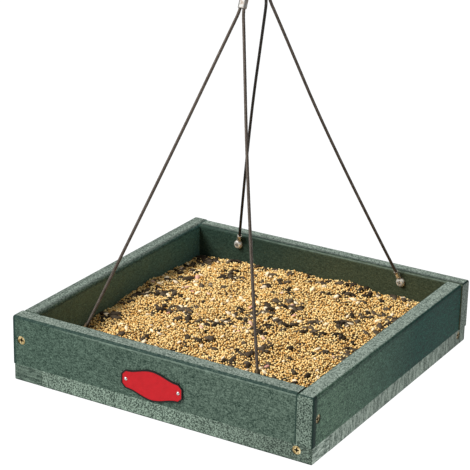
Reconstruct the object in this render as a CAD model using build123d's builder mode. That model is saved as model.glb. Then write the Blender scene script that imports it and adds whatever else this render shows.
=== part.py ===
from build123d import *
import math
import os

# A hanging tray for bird seed. Four moulded boards stand on four flat ledge strips, a holed sheet
# lies on the ledge, and two cable loops carry the tray from a bent-wire hook.
# Millimetres, +Z up, +X to the right and -Y to the front of the tray. The origin is inside the top
# of the hook's crook, where a branch or a bracket bears on the wire.

# Wire hook, bent in the YZ plane; bends are given to the middle of the wire
hook_wire_radius = 1.35
crook_radius = 15.9
crook_tip_drop = 6.4
crook_throat_angle = 21.0
crook_throat_length = 10.6
crook_to_eye = 56.6
eye_radius = 5.2
neck_above_eye = 33.9
neck_across = 0.7
left_foot_above_eye = 10.4
left_foot_across = -1.0
right_foot_above_eye = 10.0
right_foot_across = 2.9
mouth_above_eye = 25.8
mouth_across = 5.0
flare_above_eye = 31.9
flare_across = 11.4
throat_bend = 5.0
neck_bend = 4.0
foot_bend = 6.0
mouth_bend = 4.0
wire_end_round = 0.6

# Cable loops
cable_radius = 1.4
cable_gap = 0.3
bight_spacing = 3.4
stem_length = 53.0
ferrule_spacing = 3.3
ferrule_length = 13.0
ferrule_wall = 0.9
ferrule_gap = 0.1
ferrule_round = 0.6
strand_bend = 14.0
stem_bend = 40.0

# Tray
rim_below_eye = 320.0
tray_across = 298.0
board_height = 45.4
board_thickness = 16.0
board_end_overhang = 1.2
outer_top_round = 2.5
inner_top_round = 3.0
board_end_round = 1.8
strip_width = 30.0
strip_thickness = 15.5
strip_edge_round = 1.2
strip_end_round = 1.5

# Floor sheet and seed
floor_thickness = 1.0
floor_side_gap = 0.5
floor_hole_radius = 2.0
floor_hole_pitch = 15.0
floor_hole_margin = 12.0
seed_side_gap = 0.4
seed_peak_below_rim = 21.5
seed_dome_radius = 1500.0
seed_peak_right = 25.0
seed_peak_back = 45.0
hump_wave_lengths = (63.0, 47.0, 41.0)
hump_wave_headings = (20.0, -32.0, 76.0)
hump_wave_heights = (1.0, 0.8, 0.7)
heap_grid_steps = 48

# Cable lugs and their screws
lug_from_corner = 45.0
lug_below_rim = 11.0
lug_thickness = 1.0
lug_ring_radius = 4.4
lug_neck_width = 3.4
lug_reach = 5.6
lug_neck_overlap = 2.6
lug_hole_radius = 2.2
lug_barrel_radius = 2.3
lug_barrel_length = 6.5
lug_barrel_floor = 0.8
lug_bore_gap = 0.1
lug_cable_gap = 0.2
lug_wall_gap = 0.1
pan_head_radius = 4.1
pan_head_height = 2.6
pan_head_edge = 0.9
pan_shoulder_radius = 3.2
pan_shoulder_height = 2.2
pan_flat_radius = 1.9
pan_screw_radius = 1.9
pan_screw_length = 12.0

# Countersunk screws
screw_head_radius = 4.0
screw_radius = 1.9
screw_hole_gap = 0.1
screw_head_sink = 0.8
screw_tip_length = 3.0
recess_width = 1.0
recess_length = 4.6
recess_depth = 1.6
recess_core_radius = 1.25
board_screw_below_rim = 22.0
board_screw_length = 40.0
strip_screw_below_top = 5.6
strip_screw_length = 60.0
fixing_screw_from_corner = 63.0
fixing_screw_length = 30.0

# Nameplate and rivets
plate_across = -4.7
plate_below_rim = 29.7
plate_half_length = 30.6
plate_end_half_height = 4.5
plate_shoulder_across = 26.4
plate_shoulder_up = 8.6
plate_half_height = 14.0
plate_thickness = 1.2
plate_rim_width = 1.1
plate_field_depth = 0.3
rivet_across = 26.1
rivet_head_radius = 1.6
rivet_head_height = 0.9
rivet_radius = 0.9
rivet_length = 7.0
rivet_hole_gap = 0.1

# Heights and faces that follow from the sizes
crook_centre_z = hook_wire_radius - crook_radius
eye_z = crook_centre_z - crook_to_eye
rim_z = eye_z - rim_below_eye
board_base_z = rim_z - board_height
outer_face = tray_across / 2
inner_face = outer_face - board_thickness
ledge_edge = outer_face - strip_width
board_middle = outer_face - board_thickness / 2
strip_middle = outer_face - strip_width / 2
lug_across = inner_face - lug_from_corner
fixing_screw_across = inner_face - fixing_screw_from_corner
bend_over_wire = hook_wire_radius + cable_radius + cable_gap
head_taper = screw_head_radius - screw_radius

os.makedirs("parts", exist_ok=True)


def save(builder, name):
    """Name a finished piece and write its STEP file."""
    builder.part.label = name
    export_step(builder.part, f"parts/{name}.step")


def circle_point(centre, radius, degrees):
    """The point of a circle at an angle from its local x direction."""
    angle = math.radians(degrees)
    return (centre[0] + radius * math.cos(angle), centre[1] + radius * math.sin(angle))


def tangent_angle(centre, radius, point, side):
    """The angle at which the line from a point touches a circle, on side +1 or -1 of the point."""
    across, up = point[0] - centre[0], point[1] - centre[1]
    half_angle = math.acos(radius / math.hypot(across, up))
    return math.degrees(math.atan2(up, across) + side * half_angle)


def side_frame(turn):
    """The frame of one side of the tray: local x along the side, y inwards, z up from the rim."""
    angle = math.radians(turn)
    along = (math.cos(angle), math.sin(angle), 0)
    return Plane(origin=(0, 0, rim_z), x_dir=along, z_dir=(0, 0, 1))


def face_frame(side, along, inwards, up, facing):
    """A frame at a point of a side, with its z in a direction given in that side's own frame."""
    origin = side.from_local_coords(Vector(along, inwards, up))
    outward = side.from_local_coords(Vector(*facing)) - side.origin
    return Plane(origin=origin, z_dir=outward)


def drill(frame, radius, depth):
    """Cut a blind hole from the frame's origin against its z."""
    with BuildSketch(frame) as mouth_circle:
        Circle(radius)
    extrude(mouth_circle.sketch, amount=-depth, mode=Mode.SUBTRACT)


def drill_countersunk(frame, depth):
    """Cut a screw hole with a tapered seat, its head sunk below the frame's face."""
    sunk = frame.offset(-screw_head_sink)
    with BuildSketch(sunk) as head_circle:
        Circle(screw_head_radius + screw_hole_gap)
    extrude(head_circle.sketch, amount=screw_head_sink, mode=Mode.SUBTRACT)
    extrude(head_circle.sketch, amount=-head_taper, taper=45, mode=Mode.SUBTRACT)
    drill(sunk, screw_radius + screw_hole_gap, depth)


# Hanging hook
crook_centre = (0, crook_centre_z)
eye_centre = (0, eye_z)
crook_end = circle_point(crook_centre, crook_radius, -crook_throat_angle)
throat_direction = math.radians(270 - crook_throat_angle)
throat_corner = (
    crook_end[0] + crook_throat_length * math.cos(throat_direction),
    crook_end[1] + crook_throat_length * math.sin(throat_direction),
)
neck = (neck_across, eye_z + neck_above_eye)
left_foot = (left_foot_across, eye_z + left_foot_above_eye)
right_foot = (right_foot_across, eye_z + right_foot_above_eye)
mouth = (mouth_across, eye_z + mouth_above_eye)
flare_tip = (flare_across, eye_z + flare_above_eye)
ring_start = tangent_angle(eye_centre, eye_radius, left_foot, 1)
ring_end = tangent_angle(eye_centre, eye_radius, right_foot, -1)
ring_first = circle_point(eye_centre, eye_radius, ring_start)
ring_last = circle_point(eye_centre, eye_radius, ring_end)
crook_start = (-crook_radius, crook_centre_z)
crook_tip = (-crook_radius, crook_centre_z - crook_tip_drop)
leg_corners = [crook_end, throat_corner, neck, left_foot, ring_first]
mouth_corners = [ring_last, right_foot, mouth, flare_tip]

with BuildPart() as hanging_hook:
    with BuildLine(Plane.YZ) as hook_line:
        Line(crook_tip, crook_start)
        CenterArc(crook_centre, crook_radius, 180, -180 - crook_throat_angle)
        FilletPolyline(*leg_corners, radius=[throat_bend, neck_bend, foot_bend])
        CenterArc(eye_centre, eye_radius, ring_start, 360 - ring_start + ring_end)
        FilletPolyline(*mouth_corners, radius=[foot_bend, mouth_bend])
    with BuildSketch(Plane(origin=(0, *crook_tip), z_dir=(0, 0, 1))):
        Circle(hook_wire_radius)
    sweep(path=hook_line.wires()[0])
    wire_ends = hanging_hook.faces().filter_by(GeomType.PLANE).edges()
    fillet(wire_ends, wire_end_round)
save(hanging_hook, "hanging_hook")

# Wall boards, each one running past the next at its start and stopped by the one before at its end
side_names = ["front", "right", "back", "left"]
turns = {name: place * 360 / len(side_names) for place, name in enumerate(side_names)}
for name, turn in turns.items():
    side = side_frame(turn)
    start = side.from_local_coords(Vector(-outer_face - board_end_overhang, 0, 0))
    section = Plane(origin=start, x_dir=side.y_dir, z_dir=side.x_dir)
    board_length = outer_face + board_end_overhang + inner_face
    with BuildPart() as board:
        with BuildSketch(section) as profile:
            with Locations((-board_middle, -board_height / 2)):
                Rectangle(board_thickness, board_height)
            fillet(profile.vertices().group_by(Axis.Y)[-1].sort_by(Axis.X)[0], outer_top_round)
            fillet(profile.vertices().group_by(Axis.Y)[-1].sort_by(Axis.X)[-1], inner_top_round)
        extrude(amount=board_length)
        end_corner = side.from_local_coords(
            Vector(-outer_face - board_end_overhang, -outer_face, -board_height)
        )
        fillet(board.edges().filter_by(Axis.Z).sort_by_distance(end_corner)[0], board_end_round)
        drill_countersunk(
            face_frame(side, -board_middle, -outer_face, -board_screw_below_rim, (0, -1, 0)),
            board_thickness,
        )
        drill(
            face_frame(side, inner_face, -board_middle, -board_screw_below_rim, (1, 0, 0)),
            screw_radius + screw_hole_gap,
            board_screw_length + screw_head_sink - board_thickness + screw_hole_gap,
        )
        for across in (-fixing_screw_across, fixing_screw_across):
            drill(
                face_frame(side, across, -board_middle, -board_height, (0, 0, -1)),
                screw_radius + screw_hole_gap,
                fixing_screw_length + screw_head_sink - strip_thickness + screw_hole_gap,
            )
        if name in ("front", "back"):
            for across in (-lug_across, lug_across):
                drill(
                    face_frame(side, across, -inner_face, -lug_below_rim, (0, 1, 0)),
                    pan_screw_radius + screw_hole_gap,
                    pan_screw_length - lug_thickness + screw_hole_gap,
                )
        if name == "front":
            for across in (plate_across - rivet_across, plate_across + rivet_across):
                drill(
                    face_frame(side, across, -outer_face, -plate_below_rim, (0, -1, 0)),
                    rivet_radius + rivet_hole_gap,
                    rivet_length - plate_thickness + plate_field_depth + rivet_hole_gap,
                )
    save(board, f"{name}_board")

# Ledge strips, laid the other way round the corners from the boards
for name, turn in turns.items():
    side = side_frame(turn)
    start = side.from_local_coords(Vector(-ledge_edge, 0, -board_height))
    section = Plane(origin=start, x_dir=side.y_dir, z_dir=side.x_dir)
    with BuildPart() as strip:
        with BuildSketch(section) as profile:
            with Locations((-strip_middle, -strip_thickness / 2)):
                Rectangle(strip_width, strip_thickness)
            fillet(profile.vertices().group_by(Axis.Y)[0], strip_edge_round)
        extrude(amount=ledge_edge + outer_face)
        end_corner = side.from_local_coords(Vector(outer_face, -outer_face, -board_height))
        fillet(strip.edges().filter_by(Axis.Z).sort_by_distance(end_corner)[0], strip_end_round)
        drill_countersunk(
            face_frame(
                side, strip_middle, -outer_face, -board_height - strip_screw_below_top, (0, -1, 0)
            ),
            strip_width,
        )
        drill(
            face_frame(
                side, -ledge_edge, -strip_middle, -board_height - strip_screw_below_top, (-1, 0, 0)
            ),
            screw_radius + screw_hole_gap,
            strip_screw_length + screw_head_sink - strip_width + screw_hole_gap,
        )
        for across in (-fixing_screw_across, fixing_screw_across):
            drill_countersunk(
                face_frame(
                    side, across, -board_middle, -board_height - strip_thickness, (0, 0, -1)
                ),
                strip_thickness,
            )
    save(strip, f"{name}_ledge_strip")


def countersunk_screw(length):
    """A countersunk screw with a cross recess, its head's top at the origin and its tip below."""
    with BuildPart() as screw:
        with BuildSketch(Plane.XZ):
            with BuildLine():
                Polyline(
                    (0, 0),
                    (screw_head_radius, 0),
                    (screw_radius, -head_taper),
                    (screw_radius, screw_tip_length - length),
                    (0, -length),
                    close=True,
                )
            make_face()
        revolve(axis=Axis.Z)
        with BuildSketch():
            Rectangle(recess_width, recess_length)
            Rectangle(recess_length, recess_width)
            Circle(recess_core_radius)
        extrude(amount=-recess_depth, mode=Mode.SUBTRACT)
    return screw.part


# Board corner screws, from each board's face into the end of the next board
with BuildPart() as board_corner_screws:
    screw = countersunk_screw(board_screw_length)
    for turn in turns.values():
        head = face_frame(
            side_frame(turn), -board_middle, -outer_face, -board_screw_below_rim, (0, -1, 0)
        )
        with Locations(head.offset(-screw_head_sink)):
            add(screw)
save(board_corner_screws, "board_corner_screws")

# Ledge corner screws, through one strip's width into the end of the next strip
with BuildPart() as ledge_corner_screws:
    screw = countersunk_screw(strip_screw_length)
    for turn in turns.values():
        head = face_frame(
            side_frame(turn),
            strip_middle,
            -outer_face,
            -board_height - strip_screw_below_top,
            (0, -1, 0),
        )
        with Locations(head.offset(-screw_head_sink)):
            add(screw)
save(ledge_corner_screws, "ledge_corner_screws")

# Ledge fixing screws, from below through the strips into the boards
with BuildPart() as ledge_fixing_screws:
    screw = countersunk_screw(fixing_screw_length)
    for turn in turns.values():
        for across in (-fixing_screw_across, fixing_screw_across):
            head = face_frame(
                side_frame(turn),
                across,
                -board_middle,
                -board_height - strip_thickness,
                (0, 0, -1),
            )
            with Locations(head.offset(-screw_head_sink)):
                add(screw)
save(ledge_fixing_screws, "ledge_fixing_screws")

# Floor screen, lying on the ledge
floor_across = 2 * (inner_face - floor_side_gap)
floor_hole_rows = 1 + int((floor_across - 2 * floor_hole_margin) / floor_hole_pitch)
with BuildPart() as floor_screen:
    with BuildSketch(Plane((0, 0, board_base_z))):
        Rectangle(floor_across, floor_across)
        with GridLocations(floor_hole_pitch, floor_hole_pitch, floor_hole_rows, floor_hole_rows):
            Circle(floor_hole_radius, mode=Mode.SUBTRACT)
    extrude(amount=floor_thickness)
save(floor_screen, "floor_screen")

# Seed bed, heaped towards the back right, with low humps from three waves that cross
seed_base_z = board_base_z + floor_thickness
seed_peak_z = rim_z - seed_peak_below_rim
seed_across = 2 * (inner_face - seed_side_gap)


def heap_height(across, back):
    """Height of the seed's top: a shallow dome plus the three waves."""
    from_peak = math.hypot(across - seed_peak_right, back - seed_peak_back)
    height = seed_peak_z - from_peak**2 / (2 * seed_dome_radius)
    for wave, heading, rise in zip(hump_wave_lengths, hump_wave_headings, hump_wave_heights):
        angle = math.radians(heading)
        along = across * math.cos(angle) + back * math.sin(angle)
        height += rise * math.sin(2 * math.pi * along / wave)
    return height


heap_step = 2 * inner_face / heap_grid_steps
heap_edge = [heap_step * place - inner_face for place in range(heap_grid_steps + 1)]
heap_points = [
    [Vector(across, back, heap_height(across, back)) for back in heap_edge] for across in heap_edge
]
heap_top = Face.make_surface_from_array_of_points(heap_points)
with BuildPart() as seed_bed:
    extrude(heap_top, amount=board_height, dir=(0, 0, -1))
    with Locations((0, 0, seed_base_z)):
        Box(
            seed_across,
            seed_across,
            board_height,
            align=(Align.CENTER, Align.CENTER, Align.MIN),
            mode=Mode.INTERSECT,
        )
save(seed_bed, "seed_bed")

# Nameplate, bare, with a raised rim
plate_frame = Plane(
    origin=(plate_across, -outer_face, rim_z - plate_below_rim), x_dir=(1, 0, 0), z_dir=(0, -1, 0)
)


def plate_face(inset):
    """The plate's face, or a smaller one that lies inset from its edge. A wave joins the shoulders
    over and under the middle, and slanting corners join them to the two ends."""
    corner_inset = inset * math.tan(math.radians(45) / 2)
    shoulder_across = plate_shoulder_across - corner_inset
    shoulder_up = plate_shoulder_up - inset
    half_height = plate_half_height - inset
    half_way_up = (shoulder_up + half_height) / 2
    half_length = plate_half_length - inset
    end_half_height = plate_end_half_height - corner_inset
    with BuildLine() as edge:
        for way_up in (1, -1):
            Spline(
                (-shoulder_across, way_up * shoulder_up),
                (-shoulder_across / 2, way_up * half_way_up),
                (0, way_up * half_height),
                (shoulder_across / 2, way_up * half_way_up),
                (shoulder_across, way_up * shoulder_up),
                tangents=[(1, 0), (1, 0)],
            )
        for hand in (-1, 1):
            Polyline(
                (hand * shoulder_across, shoulder_up),
                (hand * half_length, end_half_height),
                (hand * half_length, -end_half_height),
                (hand * shoulder_across, -shoulder_up),
            )
    make_face(edge.edges())


with BuildPart() as nameplate:
    with BuildSketch(plate_frame):
        plate_face(0)
        with Locations((-rivet_across, 0), (rivet_across, 0)):
            Circle(rivet_radius + rivet_hole_gap, mode=Mode.SUBTRACT)
    extrude(amount=plate_thickness)
    with BuildSketch(plate_frame.offset(plate_thickness)):
        plate_face(plate_rim_width)
    extrude(amount=-plate_field_depth, mode=Mode.SUBTRACT)
save(nameplate, "nameplate")

# Nameplate rivets, with domed heads on the plate's field
dome_radius = (rivet_head_radius**2 + rivet_head_height**2) / (2 * rivet_head_height)
dome_centre = (0, rivet_head_height - dome_radius)
dome_edge = math.degrees(math.acos(rivet_head_radius / dome_radius))
dome_middle = circle_point(dome_centre, dome_radius, 45 + dome_edge / 2)
with BuildPart() as rivet:
    with BuildSketch(Plane.XZ):
        with BuildLine():
            Polyline(
                (0, rivet_head_height),
                (0, -rivet_length),
                (rivet_radius, -rivet_length),
                (rivet_radius, 0),
                (rivet_head_radius, 0),
            )
            ThreePointArc((rivet_head_radius, 0), dome_middle, (0, rivet_head_height))
        make_face()
    revolve(axis=Axis.Z)
with BuildPart() as nameplate_rivets:
    with Locations(plate_frame.offset(plate_thickness - plate_field_depth)):
        with Locations((-rivet_across, 0), (rivet_across, 0)):
            add(rivet.part)
save(nameplate_rivets, "nameplate_rivets")

# Lug screws, with pan heads that clamp the lugs to the inner faces
with BuildPart() as lug_screw:
    with BuildSketch(Plane.XZ):
        with BuildLine():
            Polyline(
                (0, -pan_screw_length),
                (pan_screw_radius, screw_tip_length - pan_screw_length),
                (pan_screw_radius, 0),
                (pan_head_radius, 0),
                (pan_head_radius, pan_head_edge),
                (pan_shoulder_radius, pan_shoulder_height),
                (pan_flat_radius, pan_head_height),
                (0, pan_head_height),
                close=True,
            )
        make_face()
    revolve(axis=Axis.Z)
    with BuildSketch(Plane((0, 0, pan_head_height))):
        Rectangle(recess_width, recess_length)
        Rectangle(recess_length, recess_width)
        Circle(recess_core_radius)
    extrude(amount=-recess_depth, mode=Mode.SUBTRACT)
with BuildPart() as lug_screws:
    for turn in (turns["front"], turns["back"]):
        for across in (-lug_across, lug_across):
            seat = face_frame(side_frame(turn), across, -inner_face, -lug_below_rim, (0, 1, 0))
            with Locations(seat.offset(lug_thickness)):
                add(lug_screw.part)
save(lug_screws, "lug_screws")

# Cable loops, each in a leaning plane from the lugs' barrels to the wire of the eye
lug_z = rim_z - lug_below_rim
lean = math.atan2(inner_face, eye_z - lug_z)
bight_across = bight_spacing / 2 + bend_over_wire * math.sin(lean)
bight_angle = math.asin(bight_across / eye_radius)
bight_z = eye_z - eye_radius * math.cos(bight_angle)
barrel_out = lug_barrel_radius * math.cos(lean) + lug_wall_gap
stem_foot_up = bight_z - stem_length * math.cos(lean) - lug_z
lug_turn = math.atan2(lug_across, stem_foot_up)
barrel_x = lug_across - lug_reach * math.sin(lug_turn)
barrel_z = lug_z + lug_reach * math.cos(lug_turn)
strand_half = ferrule_spacing / 2
loop_names = {"front": -1, "back": 1}

for name, way in loop_names.items():
    bight_centre = Vector(0, way * bight_across, bight_z)
    barrel_middle = Vector(0, way * (inner_face - barrel_out), barrel_z)
    loop_up = (bight_centre - barrel_middle).normalized()
    loop_plane = Plane(origin=bight_centre, x_dir=(1, 0, 0), z_dir=Vector(1, 0, 0).cross(loop_up))
    loop_height = (bight_centre - barrel_middle).length
    ferrule_top = (strand_half, ferrule_length - stem_length)
    touch = tangent_angle((0, 0), bend_over_wire, ferrule_top, 1)
    stem_end = circle_point((0, 0), bend_over_wire, touch)
    strand_run = Vector(strand_half - barrel_x, loop_height - stem_length).normalized()
    cable_start = lug_barrel_floor + lug_cable_gap

    # Bight over the wire of the eye
    with BuildPart() as bight:
        with BuildLine(loop_plane) as bight_line:
            CenterArc((0, 0), bend_over_wire, touch, 180 - 2 * touch)
        bight_path = bight_line.wires()[0]
        with BuildSketch(Plane(origin=bight_path @ 0, z_dir=bight_path % 0)):
            Circle(cable_radius)
        sweep(path=bight_path)
    save(bight, f"{name}_cable_bight")

    # Ferrule round the two strands, just above the point where they part
    ferrule_low = loop_plane.from_local_coords(Vector(0, -stem_length, 0))
    rise = strand_bend * math.tan(lug_turn / 2)
    sleeve_plane = Plane(origin=ferrule_low, x_dir=(1, 0, 0), z_dir=loop_up).offset(rise)
    sleeve_length = ferrule_length - 2 * rise
    with BuildPart() as ferrule:
        with BuildSketch(sleeve_plane):
            SlotCenterToCenter(ferrule_spacing, 2 * (cable_radius + ferrule_gap + ferrule_wall))
        extrude(amount=sleeve_length)
        fillet(ferrule.faces().filter_by(GeomType.PLANE).edges(), ferrule_round)
        with BuildSketch(sleeve_plane):
            with Locations((-strand_half, 0), (strand_half, 0)):
                Circle(cable_radius + ferrule_gap)
        extrude(amount=sleeve_length, mode=Mode.SUBTRACT)
    save(ferrule, f"{name}_ferrule")

    for hand, sign in (("left", -1), ("right", 1)):
        # Strand from the lug up through the ferrule to the bight
        strand_points = [
            (sign * (barrel_x + cable_start * strand_run.X), -loop_height + cable_start * strand_run.Y),
            (sign * strand_half, -stem_length),
            (sign * ferrule_top[0], ferrule_top[1]),
            (sign * stem_end[0], stem_end[1]),
        ]
        with BuildPart() as cable:
            with BuildLine(loop_plane) as cable_line:
                FilletPolyline(*strand_points, radius=[strand_bend, stem_bend])
            cable_path = cable_line.wires()[0]
            with BuildSketch(Plane(origin=cable_path @ 0, z_dir=cable_path % 0)):
                Circle(cable_radius)
            sweep(path=cable_path)
        save(cable, f"{name}_{hand}_cable")
        cable_length = cable_path.length
        filled = cable.part.volume / (math.pi * cable_radius**2 * cable_length)
        print(f"{name} {hand} cable {cable_length:.1f} mm, filled {filled:.4f} of its section")

        # Lug: a ring under its screw, a neck and a barrel that holds the cable's end
        ring_centre = Vector(sign * lug_across, way * inner_face, lug_z)
        inward = Vector(0, -way, 0)
        neck_up = Vector(-sign * math.sin(lug_turn), 0, math.cos(lug_turn))
        ring_plane = Plane(origin=ring_centre, x_dir=neck_up.cross(inward), z_dir=inward)
        barrel_base = Vector(sign * barrel_x, barrel_middle.Y, barrel_z)
        barrel_axis = (
            loop_plane.from_local_coords(Vector(sign * strand_half, -stem_length, 0)) - barrel_base
        ).normalized()
        barrel_plane = Plane(origin=barrel_base, z_dir=barrel_axis)
        with BuildPart() as lug:
            with BuildSketch(ring_plane):
                Circle(lug_ring_radius)
                neck_length = lug_reach + lug_neck_overlap
                with Locations((0, neck_length / 2)):
                    Rectangle(lug_neck_width, neck_length)
                Circle(lug_hole_radius, mode=Mode.SUBTRACT)
            extrude(amount=lug_thickness)
            with BuildSketch(barrel_plane):
                Circle(lug_barrel_radius)
            extrude(amount=lug_barrel_length)
            with BuildSketch(barrel_plane.offset(lug_barrel_floor)):
                Circle(cable_radius + lug_bore_gap)
            extrude(amount=lug_barrel_length, mode=Mode.SUBTRACT)
        save(lug, f"{name}_{hand}_lug")

# Bend radii of the swept pieces, and the axes about which the tray swings
print("hook bends", throat_bend, neck_bend, foot_bend, mouth_bend, "eye", eye_radius)
print("cable bends", strand_bend, stem_bend, round(bend_over_wire, 2))
print("eye height", round(eye_z, 3), "bight height", round(bight_z, 3), "rim", round(rim_z, 3))
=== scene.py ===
import math
from typing import NamedTuple

import bpy
import numpy as np
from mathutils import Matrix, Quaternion, Vector


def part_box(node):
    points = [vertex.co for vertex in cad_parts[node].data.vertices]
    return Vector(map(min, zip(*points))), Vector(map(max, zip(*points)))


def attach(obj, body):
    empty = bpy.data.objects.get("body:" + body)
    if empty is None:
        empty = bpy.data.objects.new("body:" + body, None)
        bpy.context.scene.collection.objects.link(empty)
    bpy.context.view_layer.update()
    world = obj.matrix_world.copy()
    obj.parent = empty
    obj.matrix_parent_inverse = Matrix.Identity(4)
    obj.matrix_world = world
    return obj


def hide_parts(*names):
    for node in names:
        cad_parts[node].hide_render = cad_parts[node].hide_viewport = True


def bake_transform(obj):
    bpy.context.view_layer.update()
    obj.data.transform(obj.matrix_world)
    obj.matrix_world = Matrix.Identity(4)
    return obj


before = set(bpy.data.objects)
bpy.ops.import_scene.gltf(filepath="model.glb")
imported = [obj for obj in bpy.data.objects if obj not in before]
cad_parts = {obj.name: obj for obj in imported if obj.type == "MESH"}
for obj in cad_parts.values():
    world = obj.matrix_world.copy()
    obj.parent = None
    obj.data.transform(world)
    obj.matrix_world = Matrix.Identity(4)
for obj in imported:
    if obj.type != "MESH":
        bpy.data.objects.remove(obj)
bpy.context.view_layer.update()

bl_info = {
    "name": "Hanging seed tray",
    "version": (1, 0, 0),
    "blender": (4, 5, 0),
    "location": "3D View > Sidebar > Seed tray",
    "description": "Dresses the hanging seed tray: boards, ledge, cables, hook, plate and seed",
    "category": "Object",
}

# Places read from the frame, in metres
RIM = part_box("front_board")[1][2]
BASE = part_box("front_ledge_strip")[0][2]
HEAP_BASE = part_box("seed_bed")[0][2]
HEAP_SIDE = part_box("seed_bed")[1][0]
PLATE_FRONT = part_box("nameplate")[0][1]
FREE_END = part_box("front_board")[0][0]
OUTER_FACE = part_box("front_board")[0][1]
BUTTED_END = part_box("front_board")[1][0]
# Slack below the top of a sunk head, and the way from a lug screw's tip back to the floor of its cross
HEAD_SLACK = 0.0001
TIP_TO_CROSS = 0.0130
# How far from the tray's middle the tops of the sunk heads and the floors of the crosses lie
SUNK_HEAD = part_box("board_corner_screws")[1][0] - HEAD_SLACK
PAN_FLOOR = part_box("lug_screws")[1][1] - TIP_TO_CROSS

# The way that each board runs from its free end to its butted end, and the way inwards
SIDES = {
    "front": ((1.0, 0.0, 0.0), (0.0, 1.0, 0.0)),
    "right": ((0.0, 1.0, 0.0), (-1.0, 0.0, 0.0)),
    "back": ((-1.0, 0.0, 0.0), (0.0, -1.0, 0.0)),
    "left": ((0.0, -1.0, 0.0), (1.0, 0.0, 0.0)),
}
# A tint that changes nothing
PLAIN = (1.0, 1.0, 1.0)


class BoardLook(NamedTuple):
    """How one board differs from the others."""

    # Tints of painted light and shade on the clean and the dusty inner face, and where along the board
    # the dust starts and is full
    clean_shading_tint: tuple = PLAIN
    dusty_shading_tint: tuple = PLAIN
    dust_from: float = -0.14
    dust_to: float = 0.14
    # Tints of painted light and shade on the outer face at the free end and further on
    first_shading_tint: tuple = PLAIN
    last_shading_tint: tuple = PLAIN
    # Tones of painted light and shade on the planed top near its outer edge and in its middle, and the
    # share that is left of the middle's tone near its inner edge, a painted shade of the rounded inner
    # edge
    outer_shading_tone: float = 0.86
    middle_shading_tone: float = 0.86
    inner_shading_share: float = 1.0
    # How dark the rounded edges are, from their smooth dark skin and painted shade, and how far below
    # the rim they end, outside and inside
    outer_arris: float = 1.0
    outer_depth: float = 0.0017
    inner_arris: float = 0.80
    inner_depth: float = 0.0024
    # How far the planed top reaches down the outer and the inner rounded edge
    outer_reach: float = 0.96
    top_reach: float = 0.90
    # How bright the painted highlight lines under the rounded edges are, and where along the board they
    # start
    outer_highlight_line: float = 0.85
    inner_highlight_line: float = 0.0
    highlight_from: float = -0.120
    highlight_to: float = -0.060
    # Width of the dark band at the free end, dark skin and painted shade of a rounded end edge, darkness
    # of the painted shadow in the seam at the other end, and a pale end
    end_shade_band: float = 0.0022
    seam: float = 0.2
    pale_end: bool = False


# Each board's tints, tones, edge darkness and bands below are partly painted light and shade for how the
# lamp falls on that side
LOOKS = {
    "front": BoardLook(first_shading_tint=(0.87, 0.90, 0.89), last_shading_tint=(1.08, 1.02, 1.03),
                       end_shade_band=0.0038, seam=0.8),
    "right": BoardLook(first_shading_tint=(1.75, 1.88, 1.72), last_shading_tint=(0.26, 0.64, 0.66),
                       outer_shading_tone=0.94, middle_shading_tone=0.94, outer_arris=0.55, outer_depth=0.0045,
                       outer_reach=0.82, outer_highlight_line=0.0, end_shade_band=0.0074, seam=0.1),
    "back": BoardLook(clean_shading_tint=(0.865, 0.827, 0.798), dusty_shading_tint=(1.00, 1.03, 1.00),
                      dust_from=0.08, dust_to=-0.03, outer_shading_tone=0.90, middle_shading_tone=0.90,
                      inner_shading_share=0.34, inner_arris=0.70, inner_depth=0.0003, inner_highlight_line=0.5,
                      highlight_from=0.115, highlight_to=0.050, pale_end=True),
    "left": BoardLook(clean_shading_tint=(2.85, 3.20, 3.75), dusty_shading_tint=(2.55, 3.00, 3.50),
                      dust_from=-0.12, dust_to=0.06, outer_shading_tone=0.68, middle_shading_tone=0.83,
                      inner_shading_share=0.50, inner_arris=0.56, inner_depth=0.0034, top_reach=0.60),
}


def length(name, description, default):
    """A size property in metres."""
    return bpy.props.FloatProperty(
        name=name, description=description, default=default, unit="LENGTH", precision=5
    )


def colour(name, description, default):
    """A linear colour property."""
    return bpy.props.FloatVectorProperty(
        name=name, description=description, default=default, subtype="COLOR", min=0.0, max=1.0
    )


def number(name, description, default):
    """A property that counts pieces."""
    return bpy.props.IntProperty(name=name, description=description, default=default)


class TraySizes(bpy.types.PropertyGroup):
    """Sizes of the dressed pieces that a user would change."""

    cable_diameter: length("Cable", "Diameter of the steel cable", 0.0028)
    cable_lay: length("Cable lay", "Length in which a strand goes once round the cable", 0.017)
    strand_groove: length("Strand groove", "Depth of the grooves between strands", 0.00012)
    grain_length: length("Millet grain", "Length of a millet grain", 0.0021)
    grain_spacing: length("Millet spacing", "Distance between neighbouring grains", 0.00180)
    sunflower_length: length("Sunflower seed", "Length of a sunflower seed", 0.0112)
    kernel_length: length("Pale kernel", "Length of a pale kernel", 0.0066)
    heap_dome: length("Heap radius", "Radius of the heap's crown", 1.5)
    heap_top: length("Heap top", "Depth of the heap's crown below the rim", 0.0222)
    sunflower_groups: number("Sunflower groups", "Groups of sunflower seeds on the heap", 42)
    sunflower_singles: number("Single sunflower seeds", "Sunflower seeds that lie alone", 100)
    pale_kernels: number("Pale kernels", "Pale and pink kernels on the heap", 210)


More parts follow.
